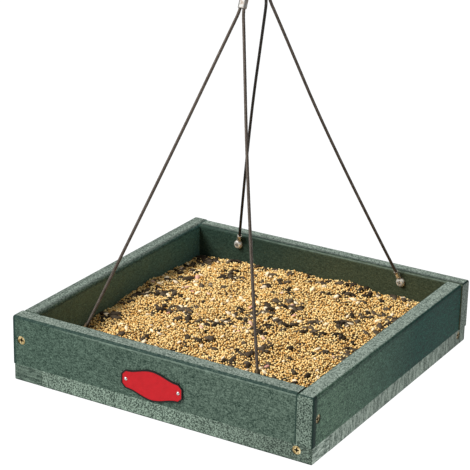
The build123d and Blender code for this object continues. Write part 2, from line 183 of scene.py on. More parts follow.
class TrayColours(bpy.types.PropertyGroup):
    """Linear colours of the finishes."""

    board_dark: colour("Board dark", "Darker streaks of a board's face", (0.0070, 0.0225, 0.0150))
    board_light: colour("Board light", "Lighter streaks of a board's face", (0.132, 0.195, 0.150))
    # The inside colours are darker partly for the smooth inner skin and partly as painted shade inside
    # the walls
    inner_dark: colour("Inside dark", "Darker streaks of an inner face", (0.010, 0.023, 0.017))
    inner_light: colour("Inside light", "Lighter streaks of an inner face", (0.044, 0.088, 0.066))
    dusty_dark: colour("Dusty dark", "Darker streaks just above the seed", (0.021, 0.026, 0.013))
    dusty_light: colour("Dusty light", "Lighter streaks just above the seed", (0.078, 0.090, 0.050))
    # The smooth dark skin of a rounded edge, deepened as painted shade
    edge_skin_and_shade: colour("Board arris", "Smooth rounded edge of a board", (0.010, 0.028, 0.023))
    # A painted highlight line under a rounded edge
    board_highlight_line: colour("Board line", "Fine bright line under a rounded edge", (0.150, 0.200, 0.162))
    sawn_dark: colour("Sawn dark", "Dark grains of a sawn face", (0.012, 0.025, 0.018))
    sawn_light: colour("Sawn light", "Light grains of a sawn face", (0.255, 0.335, 0.266))
    planed_dark: colour("Planed dark", "Dark grains of a planed face", (0.036, 0.060, 0.046))
    planed_light: colour("Planed light", "Light grains of a planed face", (0.375, 0.440, 0.378))
    worn_dark: colour("Worn dark", "Dark grains of a worn end", (0.018, 0.034, 0.025))
    worn_light: colour("Worn light", "Light grains of a worn end", (0.130, 0.178, 0.140))
    brass: colour("Brass", "Brass of the screws", (0.86, 0.70, 0.38))
    brass_dull: colour("Dull brass", "Tarnished brass", (0.28, 0.185, 0.060))
    # Painted shade in the cross of a screw
    recess: colour("Recess", "Dirt in the cross of a screw", (0.040, 0.025, 0.010))
    tinned: colour("Tinned brass", "Pale plating of the lugs", (0.92, 0.87, 0.74))
    tinned_dull: colour("Dull tinned brass", "Worn plating of the lugs", (0.22, 0.155, 0.080))
    cable: colour("Cable", "Dark coated steel", (0.060, 0.045, 0.034))
    cable_worn: colour("Cable worn", "Bare crowns of the strands", (0.24, 0.198, 0.165))
    wire: colour("Hook wire", "Bright plated wire", (0.42, 0.41, 0.40))
    wire_dull: colour("Hook wire dull", "Duller patches of the plating", (0.24, 0.233, 0.226))
    rivet: colour("Rivet", "Bright metal of the rivets", (0.54, 0.525, 0.51))
    sleeve: colour("Sleeve", "Dull pressed sleeve on a cable", (0.30, 0.295, 0.28))
    plate_red: colour("Plate field", "Red enamel", (0.41, 0.0086, 0.0136))
    plate_rim: colour("Plate rim", "Black rim", (0.010, 0.009, 0.009))
    sheet: colour("Floor sheet", "Perforated sheet metal", (0.46, 0.47, 0.47))
    millet_gold: colour("Millet", "Golden millet", (0.64, 0.326, 0.065))
    millet_tan: colour("Tan millet", "Paler tan millet", (0.98, 0.795, 0.385))
    millet_red: colour("Red millet", "Red brown millet", (0.080, 0.030, 0.014))
    sunflower: colour("Sunflower", "Sunflower husk", (0.015, 0.0100, 0.0062))
    sunflower_grey: colour("Sunflower grey", "Grey sunflower husk", (0.112, 0.084, 0.056))
    kernel: colour("Kernel", "Pale kernel", (0.66, 0.54, 0.38))
    kernel_white: colour("White kernel", "Palest kernel", (0.88, 0.72, 0.47))
    kernel_pink: colour("Pink kernel", "Pink kernel", (0.56, 0.25, 0.19))
    # Painted shade between the grains
    heap: colour("Heap", "Deep seed between the grains", (0.020, 0.009, 0.003))


def sizes():
    """The sizes of the current scene."""
    return bpy.context.scene.tray_sizes


def colours():
    """The colours of the current scene."""
    return bpy.context.scene.tray_colours


# Mesh helpers


def build_mesh(name, points, faces, smooth=True):
    """A new object at the origin from an array of points and a list of face index arrays."""
    mesh = bpy.data.meshes.new(name)
    mesh.from_pydata(points.tolist(), [], [face for group in faces for face in group.tolist()])
    mesh.polygons.foreach_set("use_smooth", np.full(len(mesh.polygons), smooth))
    mesh.update()
    piece = bpy.data.objects.new(name, mesh)
    bpy.context.scene.collection.objects.link(piece)
    return piece


def store(piece, name, values):
    """Keep one number for each point of a piece as a named attribute."""
    attribute = piece.data.attributes.new(name, "FLOAT", "POINT")
    attribute.data.foreach_set("value", np.asarray(values, np.float32))


def grid_faces(rows, columns, closed):
    """Quads of a grid of points, row after row; closed joins the last column to the first."""
    row, column = np.meshgrid(
        np.arange(rows - 1), np.arange(columns if closed else columns - 1), indexing="ij"
    )
    here = row * columns + column
    beside = row * columns + (column + 1) % columns
    return np.stack([here, beside, beside + columns, here + columns], -1).reshape(-1, 4)


def end_fans(rows, around):
    """Triangles from the first and the last ring of a tube to its two end points, which are listed
    after the rings."""
    place = np.arange(around)
    beside = (place + 1) % around
    tip = rows * around
    last = tip - around
    start = np.column_stack([np.full(around, tip), beside, place])
    end = np.column_stack([np.full(around, tip + 1), last + place, last + beside])
    return start, end


def dress(piece, finish, body):
    """Give a new piece its finish and the body that it moves with."""
    piece.data.materials.clear()
    piece.data.materials.append(finish)
    if body:
        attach(piece, body)


def repaint(node, finish):
    """Give a carried-over solid a better finish."""
    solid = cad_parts[node]
    if not solid.material_slots:
        solid.data.materials.append(finish)
    for place in solid.material_slots:
        place.material = finish


# Finish helpers

# Places of the two colours and of their mixture among the sockets of a mix node
FIRST_COLOUR, SECOND_COLOUR, MIXTURE = 6, 7, 2


def new_finish(name):
    """A material with one principled shader, its node tree and that shader."""
    finish = bpy.data.materials.new(name)
    finish.use_nodes = True
    tree = finish.node_tree
    return finish, tree, tree.nodes["Principled BSDF"]


def plug(tree, place, value):
    """Give an input a constant, or link an output to it."""
    if isinstance(value, bpy.types.NodeSocket):
        tree.links.new(value, place)
    else:
        place.default_value = value


def put(tree, kind, inputs, **settings):
    """A new node with its settings; an input is a constant, or an output to link to it."""
    made = tree.nodes.new(kind)
    for key, value in settings.items():
        setattr(made, key, value)
    for key, value in inputs.items():
        plug(tree, made.inputs[key], value)
    return made


def coat(tree, shader, hue, roughness, gloss=None, metallic=None):
    """Set the shader's colour and roughness, and its gloss and metal where they are given."""
    inputs = {
        "Base Color": hue, "Roughness": roughness, "Specular IOR Level": gloss, "Metallic": metallic
    }
    for name, value in inputs.items():
        if value is not None:
            plug(tree, shader.inputs[name], value)


def coordinates(tree):
    """The object's own coordinates and its own normals."""
    made = put(tree, "ShaderNodeTexCoord", {})
    return made.outputs["Object"], made.outputs["Normal"]


def stretched(tree, position, scale):
    """Coordinates scaled differently along each axis."""
    return put(tree, "ShaderNodeMapping", {"Vector": position, "Scale": scale}).outputs["Vector"]


def noise(tree, position, scale, detail=2.0, roughness=0.6):
    """Cloudy noise from 0 to 1."""
    made = put(
        tree,
        "ShaderNodeTexNoise",
        {"Vector": position, "Scale": scale, "Detail": detail, "Roughness": roughness},
    )
    return made.outputs[0]


def spread(tree, value, low, high, to_low=0.0, to_high=1.0):
    """A value spread from one range to another, and held at its ends."""
    made = put(
        tree,
        "ShaderNodeMapRange",
        {"Value": value, "From Min": low, "From Max": high, "To Min": to_low, "To Max": to_high},
    )
    return made.outputs["Result"]


def combine(tree, operation, first, second):
    """A sum, product or other step between two numbers."""
    return put(tree, "ShaderNodeMath", {0: first, 1: second}, operation=operation).outputs[0]


def mixed(tree, share, first, second, blend_type="MIX"):
    """One colour turning into another as share goes from 0 to 1."""
    made = put(tree, "ShaderNodeMix", {0: share}, data_type="RGBA", blend_type=blend_type)
    for place, value in ((FIRST_COLOUR, first), (SECOND_COLOUR, second)):
        linked = isinstance(value, bpy.types.NodeSocket)
        plug(tree, made.inputs[place], value if linked else (*value, 1.0))
    return made.outputs[MIXTURE]


def tinted(tree, hue, tint):
    """A colour times a tint, which may be brighter than white; a number tints all parts alike."""
    return mixed(tree, 1.0, hue, tint, "MULTIPLY")


def along_axis(tree, vector, axis):
    """How far a vector goes along an axis."""
    made = put(tree, "ShaderNodeVectorMath", {0: vector, 1: axis}, operation="DOT_PRODUCT")
    return made.outputs["Value"]


def part_of(tree, vector, place):
    """One coordinate of a vector: 0, 1 or 2."""
    return put(tree, "ShaderNodeSeparateXYZ", {"Vector": vector}).outputs[place]


def weighed(tree, *shares):
    """The sum of several numbers, each times its own weight."""
    total = None
    for value, weight in shares:
        term = combine(tree, "MULTIPLY", value, weight)
        total = combine(tree, "ADD", total, term) if total else term
    return total


def product(tree, *values):
    """Several numbers multiplied."""
    total = values[0]
    for value in values[1:]:
        total = combine(tree, "MULTIPLY", total, value)
    return total


def absolute(tree, value):
    """A number without its sign."""
    return put(tree, "ShaderNodeMath", {0: value}, operation="ABSOLUTE").outputs[0]


def relief(tree, shader, height, strength, distance):
    """Fine relief from a height between 0 and 1."""
    made = put(
        tree, "ShaderNodeBump", {"Height": height, "Strength": strength, "Distance": distance}
    )
    tree.links.new(made.outputs["Normal"], shader.inputs["Normal"])


def carried(tree, name):
    """A number that the piece carries at its points."""
    return put(tree, "ShaderNodeAttribute", {}, attribute_name=name).outputs["Fac"]


# Finishes

# Noise scales of the board plastic per metre, along and across a board where they differ
STREAK_SCALES = (230.0, 480.0)
FLECK_SCALES = (300.0, 880.0)
SPECK_SCALE = 760.0
CLOUD_SCALE = 38.0
# Gloss of the plastic, and the tint of its sawn ends
BOARD_GLOSS = 0.10
SAWN_TINT = (0.89, 0.88, 0.89)
# Darkness of the painted shade in the band and of the painted shadow in the seam at a board's ends, and
# the share of the band that is fully dark
END_SHADE_STRENGTH = 0.95
FULL_BAND = 0.6
# How straight up a normal points on the flat top
FLAT_TOP = 0.998
# Ranges along a board in metres: where the painted light and shade of the outer face changes and where
# the next board lies, from the free end, and the painted shadow of the seam, from the butted end
SHADING_TINT_RANGE = (0.040, 0.190)
NEXT_BOARD = (0.0185, 0.0165)
SEAM_SHADOW_RANGE = (0.0014, 0.0008)
# Ranges across the planed top from the outer face, where its painted light and shade changes
OUTER_TOP = (0.0060, 0.0072)
INNER_TOP = (0.0098, 0.0130)
# Depths below the rim of the seed dust and of the painted highlight lines outside and inside, and how a
# rounded edge's dark skin and painted shade fade at its end and a highlight line from its middle
DUST_RANGE = (0.004, 0.022)
HIGHLIGHT_DEPTHS = (0.0026, 0.0010)
ARRIS_FADE = (0.0004, -0.0002)
HIGHLIGHT_FADE = (0.0009, 0.0004)


class BoardPlace(NamedTuple):
    """Where a point of a board lies, along its run, across it from the outer face and in depth below
    the rim, and how far up and inwards it faces, as outputs of the finish's nodes."""

    along: bpy.types.NodeSocket
    across: bpy.types.NodeSocket
    depth: bpy.types.NodeSocket
    upward: bpy.types.NodeSocket
    inside: bpy.types.NodeSocket


def by_side(tree, place, outer, inner):
    """A value of the outer side turning into that of the inner side."""
    return spread(tree, place.inside, 0.0, 1.0, outer, inner)


def run_scales(run, scales):
    """Noise scales along and across a board that runs the given way."""
    return tuple(scales[0] if step else scales[1] for step in run)


def board_grain(tree, position, run):
    """The streaks, specks, flecks and clouds of the board plastic, each from 0 to 1."""
    streaks = stretched(tree, position, run_scales(run, STREAK_SCALES))
    flecks = stretched(tree, position, run_scales(run, FLECK_SCALES))
    return (
        spread(tree, noise(tree, streaks, scale=1.0, detail=3.0, roughness=0.65), 0.38, 0.62),
        spread(tree, noise(tree, position, SPECK_SCALE, detail=2.0, roughness=0.7), 0.42, 0.58),
        spread(tree, noise(tree, flecks, scale=1.0, detail=1.0), 0.58, 0.66),
        spread(tree, noise(tree, position, CLOUD_SCALE, detail=3.0), 0.30, 0.70),
    )


def outer_face(tree, place, look, share):
    """Plastic of the outer face, with painted light and shade that changes along the board."""
    hues = colours()
    fade = spread(tree, place.along, *(FREE_END + reach for reach in SHADING_TINT_RANGE))
    tint = mixed(tree, fade, look.first_shading_tint, look.last_shading_tint)
    return tinted(tree, mixed(tree, share, hues.board_dark, hues.board_light), tint)


def inner_face(tree, place, look, share, cloud):
    """Plastic of the inner face, darker partly for its smooth skin and partly as painted shade inside
    the walls, tinted with painted light and shade, with seed dust low down and towards one end.
    """
    hues = colours()
    clean = tinted(tree, mixed(tree, share, hues.inner_dark, hues.inner_light), look.clean_shading_tint)
    dusty = tinted(tree, mixed(tree, share, hues.dusty_dark, hues.dusty_light), look.dusty_shading_tint)
    dust = weighed(tree, (spread(tree, place.along, look.dust_from, look.dust_to), 0.80),
                   (spread(tree, place.depth, *DUST_RANGE), 0.20), (cloud, 0.20))
    return mixed(tree, spread(tree, dust, 0.10, 1.0), clean, dusty)


def planed_top(tree, place, look, grain):
    """Planed grains of the top, with painted light and shade that changes from its outer to its inner
    edge.
    """
    hues = colours()
    tone = product(tree, spread(tree, place.across, *OUTER_TOP, look.outer_shading_tone, look.middle_shading_tone),
                   spread(tree, place.across, *INNER_TOP, 1.0, look.inner_shading_share))
    return tinted(tree, mixed(tree, grain, hues.planed_dark, hues.planed_light), tone)


def highlight_line_share(tree, place, look, streak):
    """How bright the painted highlight line under a rounded edge is."""
    from_highlight = combine(tree, "SUBTRACT", place.depth, by_side(tree, place, *HIGHLIGHT_DEPTHS))
    return product(tree, spread(tree, absolute(tree, from_highlight), *HIGHLIGHT_FADE),
                   spread(tree, place.upward, 0.85, 0.75),
                   spread(tree, place.along, look.highlight_from, look.highlight_to),
                   spread(tree, streak, 0.0, 1.0, 0.45, 1.0),
                   by_side(tree, place, look.outer_highlight_line, look.inner_highlight_line))


def arris_share(tree, place, look, wear):
    """How dark a rounded edge is, from its smooth dark skin and painted shade; inside, it is plain where
    the next board butts.
    """
    at_next = spread(tree, place.along, *(FREE_END + reach for reach in NEXT_BOARD))
    inner_arris = spread(tree, at_next, 0.0, 1.0, look.inner_arris, 0.0)
    edge_depth = by_side(tree, place, look.outer_depth, look.inner_depth)
    return product(tree, spread(tree, combine(tree, "SUBTRACT", place.depth, edge_depth), *ARRIS_FADE),
                   spread(tree, place.upward, FLAT_TOP, 0.96),
                   by_side(tree, place, look.outer_arris, inner_arris),
                   spread(tree, wear, 0.25, 0.80, 1.0, 0.55))


def end_shade_share(tree, place, look):
    """How dark the outer side is with painted shade in the band at the free end and painted shadow in
    the seam at the butted end.
    """
    band = spread(tree, place.along, FREE_END + look.end_shade_band, FREE_END + FULL_BAND * look.end_shade_band)
    butt = spread(tree, place.along, *(BUTTED_END - reach for reach in SEAM_SHADOW_RANGE), 0.0, look.seam)
    return product(tree, combine(tree, "MAXIMUM", band, butt), by_side(tree, place, 1.0, 0.0),
                   END_SHADE_STRENGTH)


def board_finish(side):
    """Moulded board: streaks along its length, a smooth dark rounded edge deepened with painted shade
    and a painted highlight line under it, planed grains on top, sawn grains at its ends, seed dust low
    on its inner face, and tints of painted light and shade."""
    hues, look = colours(), LOOKS[side]
    run, inward = SIDES[side]
    finish, tree, shader = new_finish(f"{side}_board_plastic")
    position, facing = coordinates(tree)
    place = BoardPlace(
        along=along_axis(tree, position, run),
        across=combine(tree, "SUBTRACT", along_axis(tree, position, inward), OUTER_FACE),
        depth=combine(tree, "SUBTRACT", RIM, part_of(tree, position, 2)),
        upward=part_of(tree, facing, 2),
        inside=spread(tree, along_axis(tree, facing, inward), 0.10, 0.50),
    )
    streak, speckle, fleck, cloud = board_grain(tree, position, run)
    share = weighed(tree, (streak, 0.24), (speckle, 0.36), (fleck, 0.34), (cloud, 0.06))
    wear = weighed(tree, (streak, 0.5), (speckle, 0.5))
    sawn_grain = weighed(tree, (speckle, 0.72), (fleck, 0.28))
    planed_grain = weighed(tree, (speckle, 0.58), (streak, 0.20), (fleck, 0.22))
    sawn = (hues.sawn_dark, hues.sawn_light)
    if look.pale_end:
        sawn = (hues.planed_dark, hues.planed_light)
    end_grain = tinted(tree, mixed(tree, sawn_grain, *sawn), SAWN_TINT)
    ends = spread(tree, absolute(tree, along_axis(tree, facing, run)), 0.84, 0.97)
    top_edge = by_side(tree, place, look.outer_reach, look.top_reach)
    top = spread(tree, place.upward, top_edge, FLAT_TOP)

    hue = mixed(tree, place.inside, outer_face(tree, place, look, share),
                inner_face(tree, place, look, share, cloud))
    hue = mixed(tree, highlight_line_share(tree, place, look, streak), hue, hues.board_highlight_line)
    hue = mixed(tree, arris_share(tree, place, look, wear), hue, hues.edge_skin_and_shade)
    hue = mixed(tree, end_shade_share(tree, place, look), hue, hues.edge_skin_and_shade)
    hue = mixed(tree, ends, hue, end_grain)
    hue = mixed(tree, top, hue, planed_top(tree, place, look, planed_grain))
    coat(tree, shader, hue, spread(tree, share, 0.0, 1.0, 0.55, 0.78), BOARD_GLOSS)
    relief(tree, shader, share, strength=0.45, distance=0.0004)
    return finish


class StripLook(NamedTuple):
    """How one ledge strip differs from the others: the dark and light of its long faces and of its
    end, how far apart its saw marks lie and how strong they are, the painted light and shade at its near
    end, in its middle, at its far end and on its end face, and where along it the far end's painted
    shade starts."""

    palette: tuple
    end_palette: tuple
    saw_step: float = 0.0020
    saw_share: float = 0.14
    near_shading_tone: float = 1.0
    middle_shading_tone: float = 1.0
    far_shading_tone: float = 1.0
    end_shading_tone: float = 1.0
    far_from: float = 0.0


# Noise scales of the sawn ledge per metre: its specks, its clouds, the lines of an end face along each
# axis, and its saw marks across
LEDGE_SPECKS = 800.0
LEDGE_CLOUDS = 26.0
END_LINES = (90.0, 90.0, 520.0)
SAW_ACROSS = 90.0
# Where along a strip its near end's painted light and shade fades and its far end's painted shade is
# full, and the band of painted shade along its lower edge
NEAR_END = (-0.12, -0.04)
FAR_END = 0.12
LOW_SHADE_EDGE = (0.0016, 0.0006)


def ledge_finish(side, look):
    """Sawn board: salt and pepper grains with short saw marks across its edge, painted shade along its
    lower edge, painted light and shade along it and on its ends, and ends of their own palette."""
    hues = colours()
    run, _ = SIDES[side]
    finish, tree, shader = new_finish(f"{side}_ledge_plastic")
    position, facing = coordinates(tree)
    along = along_axis(tree, position, run)
    marks = stretched(tree, position, run_scales(run, (1.0 / look.saw_step, SAW_ACROSS)))
    end_lines = stretched(tree, position, END_LINES)
    speckle = spread(tree, noise(tree, position, LEDGE_SPECKS, detail=2.0, roughness=0.75), 0.43, 0.57)
    lines = spread(tree, noise(tree, end_lines, scale=1.0), 0.4, 0.6)
    saw = spread(tree, noise(tree, marks, scale=1.0), 0.42, 0.58)
    cloud = spread(tree, noise(tree, position, LEDGE_CLOUDS), 0.35, 0.65)
    share = weighed(tree, (speckle, 0.94 - look.saw_share), (saw, look.saw_share), (cloud, 0.06))
    ends = spread(tree, absolute(tree, along_axis(tree, facing, run)), 0.55, 0.90)
    # Painted light and shade along the strip
    tone = product(tree, spread(tree, along, *NEAR_END, look.near_shading_tone, look.middle_shading_tone),
                   spread(tree, along, look.far_from, FAR_END, 1.0, look.far_shading_tone))
    long_face = tinted(tree, mixed(tree, share, *look.palette), tone)
    end_face = mixed(tree, weighed(tree, (speckle, 0.4), (lines, 0.6)), *look.end_palette)
    hue = mixed(tree, ends, long_face, tinted(tree, end_face, [look.end_shading_tone] * 3))
    # Painted shade along the lower edge, in the dark board colour
    low_shade_edge = (BASE + rise for rise in LOW_SHADE_EDGE)
    low = spread(tree, part_of(tree, position, 2), *low_shade_edge, 0.0, 0.75)
    hue = mixed(tree, low, hue, hues.board_dark)
    coat(tree, shader, hue, spread(tree, share, 0.0, 1.0, 0.60, 0.80), BOARD_GLOSS)
    relief(tree, shader, share, strength=0.50, distance=0.0005)
    return finish


# How much finer the scratches of a metal are than its patches
SCRATCH_SCALE = 9.0
# How the painted shade of a recess darkens with its depth, how far behind the right heads' tops their
# painted shade starts and is full, how strong it is, and how near its depth the floor of a cross is
# found
RECESS_FADE = 0.0003
RIGHT_SHADE_RANGE = (0.0030, 0.0020)
RIGHT_SHADE = 0.6
FLOOR_RANGE = (0.0005, 0.0003)


def metal_finish(name, bright, dull, roughness, cloud_scale, metallic=1.0, darker=None):
    """Metal with duller patches and fine scratches; darker makes a share from the position and the
    normal, which paints shade into a recess."""
    finish, tree, shader = new_finish(name)
    position, facing = coordinates(tree)
    cloud = spread(tree, noise(tree, position, cloud_scale, detail=4.0), 0.42, 0.60)
    fine = noise(tree, position, cloud_scale * SCRATCH_SCALE)
    hue = mixed(tree, cloud, bright, dull)
    if darker:
        hue = mixed(tree, darker(tree, position, facing), hue, colours().recess)
    worn = weighed(tree, (cloud, 0.18), (fine, 0.12))
    coat(tree, shader, hue, combine(tree, "ADD", worn, roughness), metallic=metallic)
    relief(tree, shader, fine, strength=0.10, distance=0.0001)
    return finish


def sunk_head_shade(tree, position, facing):
    """Painted shade on what lies deeper than the top of a sunk head, measured outwards from the tray's
    middle; heads on the right side get painted shade all over."""
    outward = combine(tree, "MAXIMUM", absolute(tree, part_of(tree, position, 0)),
                      absolute(tree, part_of(tree, position, 1)))
    recess = spread(tree, outward, SUNK_HEAD, SUNK_HEAD - RECESS_FADE)
    behind = (SUNK_HEAD - reach for reach in RIGHT_SHADE_RANGE)
    right_shade = spread(tree, part_of(tree, position, 0), *behind, 0.0, RIGHT_SHADE)
    return combine(tree, "MAXIMUM", recess, right_shade)


def pan_cross_shade(tree, position, facing):
    """Painted shade on the flat floor of a pan head's cross: at its own depth, and facing straight in.
    """
    depth = absolute(tree, part_of(tree, position, 1))
    from_floor = absolute(tree, combine(tree, "SUBTRACT", depth, PAN_FLOOR))
    at_floor = spread(tree, from_floor, *FLOOR_RANGE)
    straight_in = spread(tree, absolute(tree, part_of(tree, facing, 1)), 0.90, 0.96, 0.0, 0.7)
    return combine(tree, "MULTIPLY", at_floor, straight_in)


def cable_finish(side):
    """Coated strands, worn lighter on their crowns, which the piece carries as a number; the left
    half of the back loop has kept its black coat."""
    hues = colours()
    finish, tree, shader = new_finish(f"{side}_coated_cable")
    position, _ = coordinates(tree)
    kept_share = 0.9 if side == "back" else 0.0
    kept = spread(tree, part_of(tree, position, 0), 0.003, -0.003, 0.0, kept_share)
    crown = spread(tree, carried(tree, "crown"), 0.55, 1.0)
    patch = spread(tree, noise(tree, position, scale=220.0, detail=3.0), 0.40, 0.65)
    worn = product(tree, crown, patch, spread(tree, kept, 0.0, 1.0, 0.75, 0.0))
    hue = mixed(tree, worn, mixed(tree, kept, hues.cable, hues.plate_rim), hues.cable_worn)
    coat(tree, shader, hue, spread(tree, patch, 0.0, 1.0, 0.50, 0.34), metallic=0.55)
    return finish


def plate_finish():
    """Red enamel in the sunk field, black on the raised rim and the sides."""
    hues = colours()
    finish, tree, shader = new_finish("plate_enamel")
    position, facing = coordinates(tree)
    # The raised rim lies at the front, and the field behind it
    field_depth, rim_depth = PLATE_FRONT + 0.00020, PLATE_FRONT + 0.00010
    raised = spread(tree, part_of(tree, position, 1), field_depth, rim_depth)
    side = spread(tree, part_of(tree, facing, 1), -0.7, -0.4)
    dark = combine(tree, "MAXIMUM", raised, side)
    cloud = noise(tree, position, scale=160.0, detail=3.0)
    dull_red = [0.86 * value for value in hues.plate_red]
    red = mixed(tree, spread(tree, cloud, 0.3, 0.7), hues.plate_red, dull_red)
    hue = mixed(tree, dark, red, hues.plate_rim)
    coat(tree, shader, hue, spread(tree, cloud, 0.2, 0.8, 0.36, 0.48), gloss=0.12)
    return finish


def seed_finish(name, first, second, roughness, mottle, gloss=0.20):
    """Husks that differ from seed to seed, which each seed carries, with a mottled skin."""
    finish, tree, shader = new_finish(name)
    position, _ = coordinates(tree)
    skin = noise(tree, position, mottle)
    tone = combine(tree, "ADD", combine(tree, "MULTIPLY", carried(tree, "tone"), 0.80),
                   spread(tree, skin, 0.3, 0.7, -0.10, 0.25))
    rough = spread(tree, skin, 0.3, 0.7, roughness, roughness + 0.15)
    coat(tree, shader, mixed(tree, tone, first, second), rough, gloss)
    return finish


def heap_shade_finish():
    """Deep seed that shows between the grains, darkened as painted shade in the gaps: small dark cells.
    """
    hues = colours()
    finish, tree, shader = new_finish("deep_seed_shade")
    position, _ = coordinates(tree)
    cells = put(tree, "ShaderNodeTexVoronoi", {"Vector": position, "Scale": 520.0})
    share = spread(tree, cells.outputs["Distance"], 0.1, 0.6, 1.0, 0.0)
    hue = mixed(tree, combine(tree, "MULTIPLY", share, 0.3), hues.heap, hues.millet_gold)
    coat(tree, shader, hue, 0.8)
    relief(tree, shader, share, strength=0.6, distance=0.0008)
    return finish


# Cable loops

# Route of half a loop in its own leaning plane: across and up from the wire of the eye
HALF_ROUTE = [
    (0.08603, -0.34487),
    (0.00565, -0.06683),
    (0.00165, -0.05300),
    (0.00165, -0.04000),
    (0.00298, -0.00305),
    (0.00305, 0.00305),
]
# How far to the right the middles of a loop's left and right strands bend
STRAND_BOWS = {"front": (0.0013, -0.0029), "back": (-0.0032, -0.0066)}
# Distance from the tray's middle and height of a loop, at the wire of the eye and at the lugs
EYE_WIRE = (0.00284, -0.07551)
LUG_LINE = (0.13077, -0.39681)
# Strands of a cable, points round it, and the distance between its rings
STRANDS = 6
CABLE_SIDES = 24
RING_STEP = 0.0009


def loop_plane(way):
    """A loop's middle at the eye's wire, and its across and up directions."""
    middle = np.array((0.0, way * EYE_WIRE[0], EYE_WIRE[1]))
    foot = np.array((0.0, way * LUG_LINE[0], LUG_LINE[1]))
    up = (middle - foot) / np.linalg.norm(middle - foot)
    return middle, np.array((1.0, 0.0, 0.0)), up


def in_loop(way, flat):
    """Points given across and up in a loop's plane, in the frame."""
    middle, across, up = loop_plane(way)
    flat = np.asarray(flat, float).reshape(-1, 2)
    return middle + flat[:, :1] * across + flat[:, 1:] * up


def loop_route(side):
    """The route of a whole loop: up its right strand, over the eye and down its left strand."""
    left_bow, right_bow = STRAND_BOWS[side]
    (foot_across, foot_up), (head_across, head_up) = HALF_ROUTE[:2]
    across, up = (foot_across + head_across) / 2, (foot_up + head_up) / 2
    right = [HALF_ROUTE[0], (across + right_bow, up), *HALF_ROUTE[1:]]
    left = [HALF_ROUTE[0], (across - left_bow, up), *HALF_ROUTE[1:]]
    return right + [(-across, up) for across, up in reversed(left)]


def route_line(name, points):
    """Points along the smooth spline that has the route's points as its control points."""
    curve = bpy.data.curves.new(name, "CURVE")
    curve.dimensions = "3D"
    curve.resolution_u = 48
    spline = curve.splines.new("NURBS")
    spline.points.add(len(points) - 1)
    spline.points.foreach_set("co", np.column_stack([points, np.ones(len(points))]).ravel())
    spline.order_u = 3
    spline.use_endpoint_u = True
    holder = bpy.data.objects.new(name, curve)
    bpy.context.scene.collection.objects.link(holder)
    bpy.context.view_layer.update()
    mesh = bpy.data.meshes.new_from_object(holder)
    line = np.empty(len(mesh.vertices) * 3)
    mesh.vertices.foreach_get("co", line)
    bpy.data.objects.remove(holder)
    bpy.data.curves.remove(curve)
    bpy.data.meshes.remove(mesh)
    return line.reshape(-1, 3)


def even_line(line, step):
    """The same line with points a steady step apart along it, and how far along each one lies."""
    run = np.concatenate([[0.0], np.cumsum(np.linalg.norm(np.diff(line, axis=0), axis=1))])
    at = np.linspace(0.0, run[-1], int(round(run[-1] / step)) + 1)
    return np.column_stack([np.interp(at, run, line[:, place]) for place in range(3)]), at


def stranded_cable(name, line, flat_normal):
    """Strands laid round a line: the radius dips between the strands, and the dips turn once round
    the cable in each lay length. The ends close to a point."""
    size = sizes()
    radius = size.cable_diameter / 2
    centre, run = even_line(line, RING_STEP)
    tangent = np.gradient(centre, axis=0)
    tangent /= np.linalg.norm(tangent, axis=1)[:, None]
    first = np.broadcast_to(flat_normal, centre.shape)
    second = np.cross(tangent, first)
    angle = np.linspace(0.0, 2 * np.pi, CABLE_SIDES, endpoint=False)[None, :]
    turn = 2 * np.pi * run[:, None] / size.cable_lay
    crown = np.abs(np.cos(STRANDS / 2 * (angle - turn)))
    reach = radius - size.strand_groove * (1.0 - crown)
    points = (
        centre[:, None, :]
        + (reach * np.cos(angle))[..., None] * first[:, None, :]
        + (reach * np.sin(angle))[..., None] * second[:, None, :]
    )
    points = np.concatenate([points.reshape(-1, 3), centre[:1], centre[-1:]])
    grid = (len(centre), CABLE_SIDES)
    piece = build_mesh(name, points, [grid_faces(*grid, True), *end_fans(*grid)])
    store(piece, "crown", np.concatenate([crown.ravel(), [0.0, 0.0]]))
    return piece


class TRAY_OT_cables(bpy.types.Operator):
    """Make the two cable loops between the hook's eye and the lugs."""

    bl_idname = "tray.cables"
    bl_label = "Cable loops"

    def execute(self, context):
        for side, way in (("front", -1.0), ("back", 1.0)):
            finish = cable_finish(side)
            _, across, up = loop_plane(way)
            line = route_line(f"{side}_route", in_loop(way, loop_route(side)))
            piece = stranded_cable(f"{side}_cable_loop", line, np.cross(across, up))
            dress(piece, finish, None)
            nodes = (f"{side}_left_cable", f"{side}_right_cable", f"{side}_cable_bight")
            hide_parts(*nodes)
            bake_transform(piece)
        return {"FINISHED"}


# Boards, ledge and small metal


class TRAY_OT_boards(bpy.types.Operator):
    """Finish the four wall boards."""

    bl_idname = "tray.boards"
    bl_label = "Wall boards"

    def execute(self, context):
        for side in SIDES:
            repaint(f"{side}_board", board_finish(side))
        return {"FINISHED"}


class TRAY_OT_ledge(bpy.types.Operator):
    """Finish the four ledge strips."""

    bl_idname = "tray.ledge"
    bl_label = "Ledge strips"

    def execute(self, context):
        hues = colours()
        sawn = (hues.sawn_dark, hues.sawn_light)
        planed = (hues.planed_dark, hues.planed_light)
        worn = (hues.worn_dark, hues.worn_light)
        # Palettes, saw marks, and painted light and shade along each strip and on its end
        looks = {
            "front": StripLook(sawn, planed, near_shading_tone=0.88, far_shading_tone=0.62, end_shading_tone=1.6),
            "right": StripLook(planed, planed, saw_step=0.0024, saw_share=0.52, near_shading_tone=1.56,
                               middle_shading_tone=1.15, far_shading_tone=0.72, far_from=0.085),
            "back": StripLook(sawn, sawn),
            "left": StripLook(sawn, worn),
        }
        for side, look in looks.items():
            repaint(f"{side}_ledge_strip", ledge_finish(side, look))
        return {"FINISHED"}


